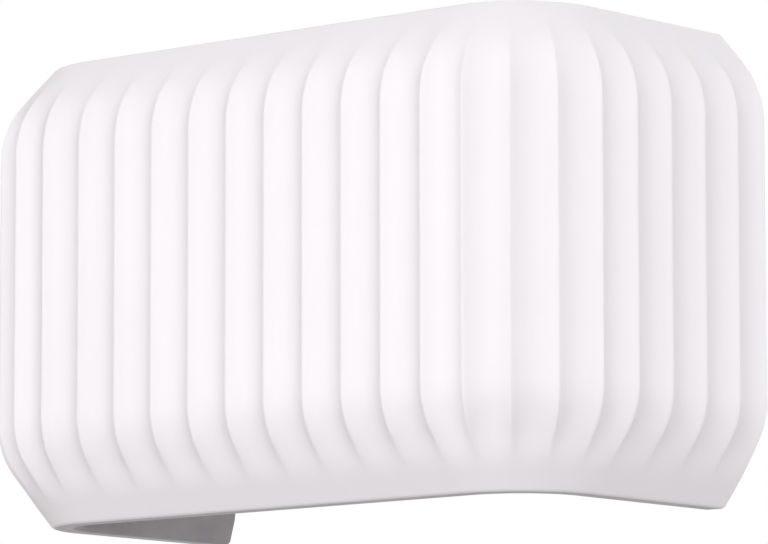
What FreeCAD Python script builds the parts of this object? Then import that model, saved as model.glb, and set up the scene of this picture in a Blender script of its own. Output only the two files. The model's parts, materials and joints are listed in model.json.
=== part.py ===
import FreeCAD, Part
import math
import os

# Plaster wall light: a fluted plaster shade, open above and below, hung on a steel wall plate
# that carries the lampholder, its lamp, the leads and the terminal block.
# Frame: the wall is the plane Y = 0, the room lies towards minus Y, Z is up and X runs to the
# right. The origin is the middle of the wall plate's back face. Lengths are millimetres.

# Shade, outside
shade_width = 303.0
shade_height = 180.0
shade_depth = 136.0
corner_radius = 56.5
shade_wall_gap = 0.5
rim_inset = 22.0
upper_slope_angle = 42.0
upper_knee_radius = 34.0
lower_slope_angle = 37.0
lower_knee_radius = 41.0

# Shade, lips and inside
lip_thickness = 9.5
lip_rounding = 2.5
throat_step = 4.0
throat_height = 14.0
throat_rounding = 9.0
wall_thickness = 17.0
inner_slope_height = 24.0
inner_knee_radius = 16.0

# Flutes
flute_depth = 3.5
flute_land = 0.6
flute_leaving_angle = 13.0
front_flutes = 10
corner_flutes = 5
side_flutes = 4
side_flute_pitch = 20.2

# Hangers on the shade
hanger_sheet = 2.0
hanger_width = 24.0
hanger_height = 62.0
hanger_rounding = 4.0
hanger_edge_gap = 4.0
hanger_screw_spacing = 50.0
hanger_screw_head_radius = 3.8
hanger_screw_head_height = 2.2
hanger_screw_recess_width = 2.5
hanger_screw_recess_depth = 1.3
insert_radius = 3.5
insert_length = 10.0
insert_fit = 0.05
hook_stud_radius = 3.0
hook_stud_tail_radius = 2.5
hook_stud_head_radius = 5.5
hook_stud_head_thickness = 2.0
hook_stud_side_gap = 0.5
upper_stud_height = 10.0
lower_stud_height = -14.0
lift_travel = 8.0
seat_gap = 0.3

# Wall plate
plate_sheet = 1.5
plate_height = 76.0
plate_rounding = 4.0
flange_hanger_gap = 7.0
wall_slot_spacing = 120.0
wall_slot_length = 12.0
wall_slot_width = 5.0
wall_slot_height = 27.0
cable_entry_height = 22.0
cable_hole_radius = 8.0

# Hook brackets on the wall plate
flange_height = 70.0
flange_depth = 30.0
flange_rounding = 5.0
bracket_bend_radius = 1.0
bracket_foot_length = 20.0
bracket_rivet_setback = 11.0
bracket_rivet_spacing = 44.0
rivet_head_radius = 3.4
rivet_head_thickness = 1.2

# Cable bush
bush_bore_radius = 5.0
bush_flange_radius = 10.5
bush_flange_thickness = 1.5

# Pressed studs, nuts and washers
stud_radius = 2.0
stud_head_radius = 2.9
stud_head_thickness = 0.7
stud_tip_length = 1.6
nut_across_flats = 7.0
nut_thickness = 3.2
washer_radius = 4.5
washer_thickness = 0.8
small_stud_radius = 1.5
small_stud_head_radius = 2.3
small_nut_across_flats = 5.5
small_nut_thickness = 2.4
thread_fit = 0.05
hole_fit = 0.15

# Lampholder arm
arm_sheet = 1.5
arm_width = 30.0
arm_foot_length = 27.0
arm_foot_rounding = 3.0
arm_stud_setback = 16.0
arm_stud_spacing = 18.0
arm_flange_gap = 43.0
lamp_axis_out = 58.0

# Nipple that joins the lampholder to its arm
nipple_radius = 5.0
nipple_bore_radius = 4.0
nipple_nut_across_flats = 14.0
nipple_nut_thickness = 4.0
nipple_washer_radius = 8.5
nipple_tip_length = 1.5
nipple_seat_length = 8.0

# Lampholder
holder_boss_radius = 9.5
holder_boss_length = 3.0
holder_cone_length = 7.0
holder_cap_radius = 18.0
holder_cap_wall = 2.0
holder_cap_length = 24.0
holder_ledge = 1.2
contact_block_length = 10.5
contact_block_fit = 0.2
skirt_radius = 19.8
skirt_overlap = 8.0
skirt_length = 26.0
skirt_bore_radius = 15.2
skirt_rounding = 1.0
screw_shell_length = 21.0
screw_shell_wall = 0.4
screw_shell_floor_hole_radius = 6.5
thread_pitch = 3.62
thread_height = 0.9
shell_thread_gap = 0.35
spring_width = 5.0
spring_sheet = 0.5
spring_foot_length = 3.0
spring_rise = 1.8
spring_ramp_height = 2.5
spring_tip_length = 3.0
spring_drop = 2.5
holder_screw_radius = 1.5
holder_screw_head_radius = 2.6
holder_screw_head_thickness = 2.0
holder_screw_depth = 6.0
holder_screw_spacing = 20.0

# Lamp
lamp_tip_gap = 0.3
lamp_contact_radius = 4.5
lamp_contact_thickness = 1.4
insulator_length = 4.0
insulator_rear_radius = 5.5
cap_radius = 13.1
cap_wall = 0.5
cap_thread_length = 16.0
cap_collar_length = 4.0
cap_collar_radius = 13.8
housing_rear_radius = 14.6
housing_neck_length = 5.0
housing_neck_radius = 15.6
housing_flare_length = 22.0
housing_flare_radius = 25.5
housing_length = 41.0
housing_rim_radius = 29.0
housing_wall = 2.0
housing_blend_radius = 30.0
dome_radius = 30.0
dome_wall = 1.5
board_thickness = 1.6
board_fit = 0.3
board_ledge = 2.0
board_depth = 3.0
led_count = 12
led_width = 3.5
led_length = 2.8
led_thickness = 0.8
led_circle_radius = 16.0

# Terminal block
block_flange_gap = 27.5
block_length = 24.0
block_drop = 20.0
block_depth = 16.5
block_rounding = 1.0
pole_pitch = 10.0
pole_axis_out = 9.0
pole_edge = 4.5
pole_tube_radius = 2.8
pole_tube_bore_radius = 1.6
pole_tube_length = 20.0
pole_tube_fit = 0.05
pole_entry_radius = 2.1
pole_screw_spacing = 12.0
pole_screw_radius = 1.5
pole_screw_hole_radius = 2.1
pole_screw_length = 5.0
pole_screw_slot_width = 0.6
pole_screw_slot_depth = 0.8
block_pocket_radius = 3.4
block_pocket_depth = 4.0

# Earth terminal
earth_block_gap = 28.0
tag_sheet = 0.8
tag_ring_radius = 4.0
tag_neck_width = 3.0
tag_barrel_radius = 1.8
tag_barrel_length = 7.0
tag_barrel_gap = 1.0

# Leads
lead_radius = 1.1
lead_spread = 1.3
lead_flange_gap = 19.5
lead_bend_radius = 13.0
lead_fan_bend_radius = 9.0
lead_fan_start_gap = 5.0
lead_fan_end_gap = 12.0
lead_stop_gap = 1.5
earth_lead_bend_radius = 4.5
earth_lead_level_share = 0.25
ferrule_radius = 0.9
ferrule_depth = 9.0
sleeve_radius = 3.3
sleeve_bore_radius = 2.75
sleeve_block_gap = 48.0
sleeve_nipple_depth = 3.0
clip_length = 6.0
clip_wall = 1.6
clip_fit = 0.1
clip_place_shares = (0.41, 0.83)

# Cutting tools
overrun = 5.0
cutter_run = 45.0

# Places that several pieces share
half_width = shade_width / 2
half_height = shade_height / 2
front_y = -shade_depth
back_y = -shade_wall_gap
front_half = half_width - corner_radius
corner_y = front_y + corner_radius
inner_wall_x = half_width - wall_thickness
hanger_x = inner_wall_x - hanger_sheet
flange_x = hanger_x - flange_hanger_gap
plate_y = -plate_sheet
hanger_front_y = back_y - hanger_edge_gap - hanger_width
hook_stud_y = back_y - hanger_edge_gap - hanger_width / 2
lamp_y = -lamp_axis_out
arm_face_x = arm_flange_gap - flange_x
lead_turn_x = lead_flange_gap - flange_x
lead_y = plate_y - pole_axis_out
lead_z = -block_drop
pole_heights = (lead_z + pole_pitch, lead_z, lead_z - pole_pitch)
block_x = flange_x - block_flange_gap - block_length / 2
block_left = block_x - block_length / 2
block_front = plate_y - block_depth
earth_stud_x = block_left - earth_block_gap
sleeve_end_x = block_left - sleeve_block_gap

AXIS_X = FreeCAD.Vector(1, 0, 0)
AXIS_Y = FreeCAD.Vector(0, 1, 0)
AXIS_Z = FreeCAD.Vector(0, 0, 1)


def point(x, y, z):
    return FreeCAD.Vector(x, y, z)


def unit(vector):
    return vector * (1 / vector.Length)


def rounded_wire(points, radii, closed):
    """Straight runs through the points, with a tangent arc of the given radius at each."""
    edges = []
    count = len(points)
    cursor = None
    first = None
    for index, corner in enumerate(points):
        is_end = not closed and index in (0, count - 1)
        radius = 0 if is_end else radii[index]
        if radius > 0:
            back = unit(points[index - 1] - corner)
            ahead = unit(points[(index + 1) % count] - corner)
            half = back.getAngle(ahead) / 2
            reach = radius / math.tan(half)
            start = corner + back * reach
            end = corner + ahead * reach
            middle_line = unit(back + ahead)
            middle = corner + middle_line * (radius / math.sin(half) - radius)
        else:
            start = corner
            end = corner
        if cursor is not None and (start - cursor).Length > 0:
            edges.append(Part.LineSegment(cursor, start).toShape())
        if radius > 0:
            edges.append(Part.Arc(start, middle, end).toShape())
        if first is None:
            first = start
        cursor = end
    if closed and (first - cursor).Length > 0:
        edges.append(Part.LineSegment(cursor, first).toShape())
    return Part.Wire(edges)


def rounded_face(points, radii):
    return Part.Face(rounded_wire(points, radii, True))


def box(low, high):
    size = high - low
    return Part.makeBox(size.x, size.y, size.z, low)


def rod(start, axis, radius, length):
    return Part.makeCylinder(radius, length, start, axis)


def through_hole(start, axis, radius, length):
    """Cutter for a hole through the length given, with an overrun at both ends."""
    return rod(start - axis * overrun, axis, radius, length + 2 * overrun)


def tube(start, axis, radius, bore_radius, length):
    return rod(start, axis, radius, length).cut(through_hole(start, axis, bore_radius, length))


def hex_bar(start, axis, across_flats, length):
    side = AXIS_Z if abs(axis.z) < 1 else AXIS_X
    spoke = side * (across_flats / math.sqrt(3))
    corners = [start + FreeCAD.Rotation(axis, 60 * step).multVec(spoke) for step in range(6)]
    return Part.Face(Part.makePolygon(corners + corners[:1])).extrude(axis * length)


def hex_nut(start, axis, across_flats, thickness, bore_radius):
    bore = through_hole(start, axis, bore_radius, thickness)
    return hex_bar(start, axis, across_flats, thickness).cut(bore)


def mirrored(shape):
    return shape.mirror(point(0, 0, 0), AXIS_X)


def tidy(shape):
    """Merges split faces, and returns the bare solid where there is only one."""
    shape = shape.removeSplitter()
    return shape.Solids[0] if len(shape.Solids) == 1 else shape


def lamp_turned(start_x, profile, radii=None):
    """Turns an outline of (distance along the lamp axis, radius) points about that axis."""
    points = [point(start_x + along, lamp_y, radius) for along, radius in profile]
    face = rounded_face(points, radii or [0] * len(points))
    return face.revolve(point(start_x, lamp_y, 0), AXIS_X, 360)


def knee_corner(slope_angle):
    """Height at which the slope's line would meet the upright flank."""
    return half_height - rim_inset / math.tan(math.radians(slope_angle))


def section_half(slope_angle, knee_radius):
    """Corners of the wall's section from the outer knee over the rim to the inner knee."""
    lip = rim_inset + lip_thickness
    throat = lip + throat_step
    throat_z = half_height - throat_height
    return [
        (0, knee_corner(slope_angle), knee_radius),
        (rim_inset, half_height, lip_rounding),
        (lip, half_height, lip_rounding),
        (throat, throat_z, throat_rounding),
        (wall_thickness, throat_z - inner_slope_height, inner_knee_radius),
    ]


def shade_section(place):
    """Section through the shade's wall. place(inset, height) puts it in its plane."""
    outline = section_half(upper_slope_angle, upper_knee_radius)
    lower = section_half(lower_slope_angle, lower_knee_radius)
    outline += [(inset, -height, radius) for inset, height, radius in reversed(lower)]
    points = [place(inset, height) for inset, height, radius in outline]
    return rounded_face(points, [radius for inset, height, radius in outline])


def shade_blank():
    front = shade_section(lambda inset, height: point(-front_half, front_y + inset, height))
    corner = shade_section(lambda inset, height: point(front_half, front_y + inset, height))
    side = shade_section(lambda inset, height: point(half_width - inset, corner_y, height))
    front_wall = front.extrude(AXIS_X * (2 * front_half))
    corner_wall = corner.revolve(point(front_half, corner_y, 0), AXIS_Z, 90)
    side_wall = side.extrude(AXIS_Y * (back_y - corner_y))
    pieces = [corner_wall, side_wall, mirrored(corner_wall), mirrored(side_wall)]
    return tidy(front_wall.fuse(pieces))


def flute_cutter(place, normal, radius, depth):
    """Round bar that follows the shade's profile and leaves it near each rim.

    place(inset, height) puts a point in the flute's middle plane and normal is that plane's
    normal, turned so that positive angles tip the upper end inwards.
    """
    stand_off = radius - depth
    centre = place(-stand_off, 0)
    outline = Part.Face(Part.Wire(Part.makeCircle(radius, centre, AXIS_Z)))
    ends = ((1, upper_slope_angle, upper_knee_radius), (-1, lower_slope_angle, lower_knee_radius))
    pieces = []
    for sign, slope_angle, knee_radius in ends:
        bend_start = knee_corner(slope_angle) - knee_radius * math.tan(math.radians(slope_angle / 2))
        straight = outline.extrude(AXIS_Z * (sign * bend_start))
        end = outline.translated(AXIS_Z * (sign * bend_start))
        pivot = place(knee_radius, sign * bend_start)
        turn = sign * (slope_angle - flute_leaving_angle)
        bend = end.revolve(pivot, normal, turn)
        tip = end.rotated(pivot, normal, turn)
        heading = FreeCAD.Rotation(normal, turn).multVec(AXIS_Z * sign)
        pieces += [straight, bend, tip.extrude(heading * cutter_run)]
    return tidy(pieces[0].fuse(pieces[1:]))


def flute_radius(chord, sagitta):
    return (chord * chord / 4 + sagitta * sagitta) / (2 * sagitta)


def flute_cutters():
    cutters = []
    front_pitch = 2 * front_half / front_flutes
    front_radius = flute_radius(front_pitch - flute_land, flute_depth)
    for index in range(front_flutes):
        x = -front_half + (index + 0.5) * front_pitch
        cutters.append(flute_cutter(
            lambda inset, height: point(x, front_y + inset, height), -AXIS_X, front_radius, flute_depth))
    step = 90 / corner_flutes
    half_step = math.radians(step / 2)
    bulge = corner_radius * (1 - math.cos(half_step))
    corner_chord = 2 * corner_radius * math.sin(half_step) - flute_land
    corner_bar = flute_cutter(
        lambda inset, height: point(front_half, front_y + inset, height),
        -AXIS_X,
        flute_radius(corner_chord, flute_depth),
        flute_depth + bulge,
    )
    for index in range(corner_flutes):
        turned = corner_bar.rotated(point(front_half, corner_y, 0), AXIS_Z, (index + 0.5) * step)
        cutters += [turned, mirrored(turned)]
    side_radius = flute_radius(side_flute_pitch - flute_land, flute_depth)
    for index in range(side_flutes):
        y = corner_y + (index + 0.5) * side_flute_pitch
        bar = flute_cutter(
            lambda inset, height: point(half_width - inset, y, height), -AXIS_Y, side_radius, flute_depth)
        cutters += [bar, mirrored(bar)]
    return cutters


def plaster_shade():
    shade = shade_blank().cut(flute_cutters())
    pockets = []
    for sign in (1, -1):
        for height in (hanger_screw_spacing / 2, -hanger_screw_spacing / 2):
            mouth = point(sign * (inner_wall_x - overrun), hook_stud_y, height)
            depth = overrun + insert_length
            pockets.append(rod(mouth, AXIS_X * sign, insert_radius + insert_fit, depth))
    return tidy(shade.cut(pockets))


def hanger_right():
    """Flat steel plate on the shade's inner wall, drilled for its screws and hook studs."""
    z = hanger_height / 2
    rear_y = hanger_front_y + hanger_width
    corners = [point(hanger_x, hanger_front_y, -z), point(hanger_x, rear_y, -z),
               point(hanger_x, rear_y, z), point(hanger_x, hanger_front_y, z)]
    plate = rounded_face(corners, [hanger_rounding] * 4).extrude(AXIS_X * hanger_sheet)
    screw_hole = stud_radius + hole_fit
    tail_hole = hook_stud_tail_radius + thread_fit
    holes = [(hanger_screw_spacing / 2, screw_hole), (-hanger_screw_spacing / 2, screw_hole),
             (upper_stud_height, tail_hole), (lower_stud_height, tail_hole)]
    return plate.cut([through_hole(point(hanger_x, hook_stud_y, height), AXIS_X, radius, hanger_sheet)
                      for height, radius in holes])


def hanger_left():
    return mirrored(hanger_right())


def hook_studs():
    head_x = flange_x - plate_sheet - hook_stud_side_gap
    studs = []
    for height in (upper_stud_height, lower_stud_height):
        start = point(head_x, hook_stud_y, height)
        tail = rod(point(hanger_x, hook_stud_y, height), AXIS_X, hook_stud_tail_radius, hanger_sheet)
        shoulder = rod(start, AXIS_X, hook_stud_radius, hanger_x - head_x)
        head = rod(start, -AXIS_X, hook_stud_head_radius, hook_stud_head_thickness)
        stud = tidy(shoulder.fuse([tail, head]))
        studs += [stud, mirrored(stud)]
    return Part.makeCompound(studs)


def hanger_screws():
    screws = []
    for height in (hanger_screw_spacing / 2, -hanger_screw_spacing / 2):
        seat = point(hanger_x, hook_stud_y, height)
        top = seat - AXIS_X * hanger_screw_head_height
        shank = rod(seat, AXIS_X, stud_radius, hanger_sheet + insert_length)
        head = rod(top, AXIS_X, hanger_screw_head_radius, hanger_screw_head_height)
        recess = hex_bar(top - AXIS_X * overrun, AXIS_X, hanger_screw_recess_width,
                         overrun + hanger_screw_recess_depth)
        screw = tidy(shank.fuse(head)).cut(recess)
        screws += [screw, mirrored(screw)]
    return Part.makeCompound(screws)


def threaded_inserts():
    inserts = []
    for height in (hanger_screw_spacing / 2, -hanger_screw_spacing / 2):
        start = point(inner_wall_x, hook_stud_y, height)
        insert = tube(start, AXIS_X, insert_radius, stud_radius + thread_fit, insert_length)
        inserts += [insert, mirrored(insert)]
    return Part.makeCompound(inserts)


def hook_slot(height):
    """L-shaped slot through the right bracket: in from its front edge, back, then down to the seat."""
    radius = hook_stud_radius + seat_gap
    start_x = flange_x - plate_sheet - overrun
    length = plate_sheet + 2 * overrun
    seat = point(start_x, hook_stud_y, height)
    top = seat + AXIS_Z * lift_travel
    front = plate_y - flange_depth - overrun
    end_x = start_x + length
    down = box(point(start_x, hook_stud_y - radius, height), point(end_x, hook_stud_y + radius, top.z))
    run_in = box(point(start_x, front, top.z - radius), point(end_x, hook_stud_y, top.z + radius))
    ends = [rod(seat, AXIS_X, radius, length), rod(top, AXIS_X, radius, length)]
    return down.fuse([run_in] + ends)


def pressed_stud(x, z, radius, head_radius, tip_y):
    shank = rod(point(x, 0, z), -AXIS_Y, radius, -tip_y)
    head = rod(point(x, 0, z), -AXIS_Y, head_radius, stud_head_thickness)
    return tidy(shank.fuse(head))


def stud_hole(x, z, radius, head_radius):
    hole = through_hole(point(x, 0, z), -AXIS_Y, radius + thread_fit, plate_sheet)
    recess = rod(point(x, overrun, z), -AXIS_Y, head_radius + thread_fit, overrun + stud_head_thickness)
    return hole.fuse(recess)


def wall_slot(x):
    """Level slot for a wall screw, through the plate at the place given."""
    radius = wall_slot_width / 2
    reach = wall_slot_length / 2 - radius
    low = wall_slot_height - radius
    bar = box(point(x - reach, plate_y - overrun, low), point(x + reach, overrun, low + wall_slot_width))
    ends = [through_hole(point(x + shift, 0, wall_slot_height), -AXIS_Y, radius, plate_sheet)
            for shift in (-reach, reach)]
    return bar.fuse(ends)


def arm_stud_places():
    x = arm_face_x - arm_sheet + arm_stud_setback
    return [(x, arm_stud_spacing / 2), (x, -arm_stud_spacing / 2)]


def block_stud_places():
    return [(block_x, lead_z + pole_pitch / 2), (block_x, lead_z - pole_pitch / 2)]


def bracket_rivet_places():
    x = flange_x - bracket_rivet_setback
    return [(x, bracket_rivet_spacing / 2), (x, -bracket_rivet_spacing / 2)]


def back_plate():
    x = flange_x
    z = plate_height / 2
    corners = [point(-x, 0, -z), point(x, 0, -z), point(x, 0, z), point(-x, 0, z)]
    plate = rounded_face(corners, [plate_rounding] * 4).extrude(-AXIS_Y * plate_sheet)
    cuts = [through_hole(point(0, 0, cable_entry_height), -AXIS_Y, cable_hole_radius, plate_sheet)]
    for sign in (1, -1):
        cuts.append(wall_slot(sign * wall_slot_spacing / 2))
    for x, z in bracket_rivet_places():
        hole = stud_hole(x, z, stud_radius, stud_head_radius)
        cuts += [hole, mirrored(hole)]
    for x, z in arm_stud_places() + [(earth_stud_x, lead_z)]:
        cuts.append(stud_hole(x, z, stud_radius, stud_head_radius))
    for x, z in block_stud_places():
        cuts.append(stud_hole(x, z, small_stud_radius, small_stud_head_radius))
    return tidy(plate.cut(cuts))


def hook_bracket_right():
    """Folded steel angle on the wall plate, with the slots that the shade's studs drop into."""
    inner_x = flange_x - plate_sheet
    foot_x = flange_x - bracket_foot_length
    foot_y = plate_y - plate_sheet
    front = plate_y - flange_depth
    z = flange_height / 2
    outer_bend = bracket_bend_radius + plate_sheet
    angle = [(foot_x, plate_y, 0), (flange_x, plate_y, outer_bend), (flange_x, front, 0),
             (inner_x, front, 0), (inner_x, foot_y, bracket_bend_radius), (foot_x, foot_y, 0)]
    points = [point(px, py, -z) for px, py, radius in angle]
    bracket = rounded_face(points, [radius for px, py, radius in angle]).extrude(AXIS_Z * flange_height)
    side_x = foot_x - overrun
    side = [point(side_x, front, -z), point(side_x, plate_y + overrun, -z),
            point(side_x, plate_y + overrun, z), point(side_x, front, z)]
    side_face = rounded_face(side, [flange_rounding, 0, 0, flange_rounding])
    bracket = bracket.common(side_face.extrude(AXIS_X * (bracket_foot_length + 2 * overrun)))
    cuts = [hook_slot(upper_stud_height), hook_slot(lower_stud_height)]
    for x, z in bracket_rivet_places():
        cuts.append(through_hole(point(x, plate_y, z), -AXIS_Y, stud_radius + thread_fit, plate_sheet))
    return tidy(bracket.cut(cuts))


def hook_bracket_left():
    return mirrored(hook_bracket_right())


def bracket_rivets():
    seat_y = plate_y - plate_sheet
    rivets = []
    for x, z in bracket_rivet_places():
        head = rod(point(x, seat_y, z), -AXIS_Y, rivet_head_radius, rivet_head_thickness)
        rivet = tidy(pressed_stud(x, z, stud_radius, stud_head_radius, seat_y).fuse(head))
        rivets += [rivet, mirrored(rivet)]
    return Part.makeCompound(rivets)


def cable_bush():
    start = point(0, 0, cable_entry_height)
    barrel = rod(start, -AXIS_Y, cable_hole_radius - thread_fit, plate_sheet)
    flange = rod(start - AXIS_Y * plate_sheet, -AXIS_Y, bush_flange_radius, bush_flange_thickness)
    bore = through_hole(start, -AXIS_Y, bush_bore_radius, plate_sheet + bush_flange_thickness)
    return tidy(barrel.fuse(flange)).cut(bore)


def arm_nut_seat():
    return plate_y - arm_sheet - washer_thickness


def arm_studs():
    tip_y = arm_nut_seat() - nut_thickness - stud_tip_length
    return Part.makeCompound([pressed_stud(x, z, stud_radius, stud_head_radius, tip_y)
                              for x, z in arm_stud_places()])


def arm_nuts():
    y = arm_nut_seat()
    bore = stud_radius + thread_fit
    return Part.makeCompound([hex_nut(point(x, y, z), -AXIS_Y, nut_across_flats, nut_thickness, bore)
                              for x, z in arm_stud_places()])


def arm_washers():
    y = plate_y - arm_sheet
    bore = stud_radius + hole_fit
    return Part.makeCompound([tube(point(x, y, z), -AXIS_Y, washer_radius, bore, washer_thickness)
                              for x, z in arm_stud_places()])


def lampholder_arm():
    half = arm_width / 2
    back_x = arm_face_x - arm_sheet
    blade = box(point(back_x, lamp_y, -half), point(arm_face_x, plate_y, half))
    eye = rod(point(back_x, lamp_y, 0), AXIS_X, half, arm_sheet)
    foot_x = back_x + arm_foot_length
    foot_y = plate_y - arm_sheet
    corners = [point(back_x, foot_y, -half), point(foot_x, foot_y, -half), point(foot_x, foot_y, half),
               point(back_x, foot_y, half)]
    foot = rounded_face(corners, [0, arm_foot_rounding, arm_foot_rounding, 0]).extrude(AXIS_Y * arm_sheet)
    arm = tidy(blade.fuse([eye, foot]))
    holes = [through_hole(point(back_x, lamp_y, 0), AXIS_X, nipple_radius + hole_fit, arm_sheet)]
    for x, z in arm_stud_places():
        holes.append(through_hole(point(x, plate_y, z), -AXIS_Y, stud_radius + hole_fit, arm_sheet))
    return arm.cut(holes)


def nipple_nut_x():
    return arm_face_x - arm_sheet - washer_thickness - nipple_nut_thickness


def holder_nipple():
    start_x = nipple_nut_x() - nipple_tip_length
    length = arm_face_x + nipple_seat_length - start_x
    return tube(point(start_x, lamp_y, 0), AXIS_X, nipple_radius, nipple_bore_radius, length)


def nipple_nut():
    start = point(nipple_nut_x(), lamp_y, 0)
    return hex_nut(start, AXIS_X, nipple_nut_across_flats, nipple_nut_thickness, nipple_radius + thread_fit)


def nipple_washer():
    start = point(arm_face_x - arm_sheet - washer_thickness, lamp_y, 0)
    return tube(start, AXIS_X, nipple_washer_radius, nipple_radius + hole_fit, washer_thickness)


def holder_block_start():
    """Distance from the arm to the contact block's rear face."""
    return holder_cap_length - contact_block_length


def holder_cap():
    inner = holder_cap_radius - holder_cap_wall
    cone_end = holder_boss_length + holder_cone_length
    ledge_x = holder_block_start()
    profile = [
        (0, nipple_radius + thread_fit),
        (0, holder_boss_radius),
        (holder_boss_length, holder_boss_radius),
        (cone_end, holder_cap_radius),
        (holder_cap_length, holder_cap_radius),
        (holder_cap_length, inner),
        (ledge_x, inner),
        (ledge_x, inner - holder_ledge),
        (cone_end + holder_cap_wall, inner - holder_ledge),
        (nipple_seat_length, holder_boss_radius - holder_cap_wall / 2),
        (nipple_seat_length, nipple_radius + thread_fit),
    ]
    radii = [0, 0, 0, holder_cap_wall, 0, 0, 0, 0, 0, 0, 0]
    return lamp_turned(arm_face_x, profile, radii)


def holder_screw_places():
    x = arm_face_x + holder_block_start()
    return [point(x, lamp_y, holder_screw_spacing / 2), point(x, lamp_y, -holder_screw_spacing / 2)]


def contact_block():
    radius = holder_cap_radius - holder_cap_wall - contact_block_fit
    start = point(arm_face_x + holder_block_start(), lamp_y, 0)
    block = rod(start, AXIS_X, radius, contact_block_length)
    radius = holder_screw_radius + thread_fit
    depth = overrun + holder_screw_depth
    return block.cut([rod(place - AXIS_X * overrun, AXIS_X, radius, depth)
                      for place in holder_screw_places()])


def holder_screws():
    screws = []
    for place in holder_screw_places():
        shank = rod(place, AXIS_X, holder_screw_radius, holder_screw_depth)
        head = rod(place, -AXIS_X, holder_screw_head_radius, holder_screw_head_thickness)
        screws.append(tidy(shank.fuse(head)))
    return Part.makeCompound(screws)


def holder_skirt():
    seat = holder_cap_length
    end = seat + skirt_length
    sleeve = holder_cap_radius + contact_block_fit
    profile = [
        (seat - skirt_overlap, sleeve),
        (seat - skirt_overlap, skirt_radius),
        (end, skirt_radius),
        (end, skirt_bore_radius),
        (seat, skirt_bore_radius),
        (seat, sleeve),
    ]
    return lamp_turned(arm_face_x, profile, [0, skirt_rounding, skirt_rounding, skirt_rounding, 0, 0])


def thread_points(start, length, crest_radius, root_radius):
    """Outline of a round-topped thread as cones between crests and roots."""
    turns = int(length / thread_pitch)
    lead_in = (length - turns * thread_pitch) / 2
    points = []
    for turn in range(turns):
        foot = start + lead_in + turn * thread_pitch
        points.append((foot, root_radius))
        points.append((foot + thread_pitch / 2, crest_radius))
    points.append((start + lead_in + turns * thread_pitch, root_radius))
    return points


def screw_shell():
    start = holder_cap_length
    floor = start + screw_shell_wall
    end = start + screw_shell_length
    inner_low = cap_radius + shell_thread_gap
    inner_high = inner_low + thread_height
    inner = thread_points(floor, screw_shell_length - screw_shell_wall, inner_high, inner_low)
    outer = [(along, radius + screw_shell_wall) for along, radius in inner]
    profile = [(start, screw_shell_floor_hole_radius), (start, inner_low + screw_shell_wall)]
    profile += outer
    profile += [(end, inner_low + screw_shell_wall), (end, inner_low)]
    profile += list(reversed(inner))
    profile += [(floor, inner_low), (floor, screw_shell_floor_hole_radius)]
    return lamp_turned(arm_face_x, profile)


def centre_contact():
    """Bent brass tongue on the contact block, just short of the lamp's end contact."""
    start_x = arm_face_x + holder_cap_length
    face = spring_rise + spring_sheet
    outline = [
        (0, -spring_foot_length),
        (0, 0),
        (spring_rise, spring_ramp_height),
        (spring_rise, spring_ramp_height + spring_tip_length),
        (face, spring_ramp_height + spring_tip_length),
        (face, spring_ramp_height - spring_sheet / 2),
        (spring_sheet, -spring_sheet / 2),
        (spring_sheet, -spring_foot_length),
    ]
    y = lamp_y - spring_width / 2
    points = [point(start_x + along, y, height - spring_drop) for along, height in outline]
    return rounded_face(points, [0] * len(points)).extrude(AXIS_Y * spring_width)


def lamp_start():
    return arm_face_x + holder_cap_length + spring_rise + spring_sheet + lamp_tip_gap


def cap_start():
    return insulator_length


def cap_end():
    return insulator_length + cap_thread_length + cap_collar_length


def lamp_contact():
    back = lamp_contact_thickness
    profile = [(0, 0), (0, lamp_contact_radius), (back, lamp_contact_radius), (back, 0)]
    return lamp_turned(lamp_start(), profile, [0, back / 2, 0, 0])


def lamp_insulator():
    front = cap_radius - thread_height - cap_wall - thread_fit
    end = insulator_length + cap_wall
    profile = [(lamp_contact_thickness, 0), (lamp_contact_thickness, insulator_rear_radius),
               (insulator_length, front), (end, front), (end, 0)]
    return lamp_turned(lamp_start(), profile)


def lamp_cap():
    root = cap_radius - thread_height
    start = cap_start()
    neck = start + cap_thread_length
    end = cap_end()
    outer = [(start, root)] + thread_points(start, cap_thread_length, cap_radius, root)
    outer += [(neck, root), (neck + cap_wall, cap_collar_radius), (end, cap_collar_radius)]
    bore = root - cap_wall
    profile = outer + [(end, bore), (start, bore)]
    return lamp_turned(lamp_start(), profile)


def housing_end():
    return cap_end() + housing_length


def lamp_housing():
    start = cap_end()
    neck = start + housing_neck_length
    flare = neck + housing_flare_length
    end = housing_end()
    wall = housing_wall
    ledge = end - board_depth
    board = housing_rim_radius - wall
    inward = wall + board_ledge
    profile = [
        (start, 0),
        (start, housing_rear_radius),
        (neck, housing_neck_radius),
        (flare, housing_flare_radius),
        (end, housing_rim_radius),
        (end, board),
        (ledge, board),
        (ledge, board - board_ledge),
        (flare, housing_flare_radius - inward),
        (neck, housing_neck_radius - inward),
        (start + wall, housing_rear_radius - inward),
        (start + wall, 0),
    ]
    radii = [0, 0, housing_blend_radius, housing_blend_radius] + [0] * 8
    return lamp_turned(lamp_start(), profile, radii)


def dome_centre():
    return housing_end() + math.sqrt(dome_radius ** 2 - housing_rim_radius ** 2)


def dome_arc(radius, centre_x, base_x):
    """Quarter of the dome's outline, from the housing's rim to the tip on the lamp axis."""
    rim_angle = math.acos((base_x - centre_x) / radius)
    ends = []
    for angle in (rim_angle, rim_angle / 2, 0):
        ends.append(point(centre_x + radius * math.cos(angle), lamp_y, radius * math.sin(angle)))
    return Part.Arc(ends[0], ends[1], ends[2]).toShape(), ends[0], ends[2]


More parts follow.
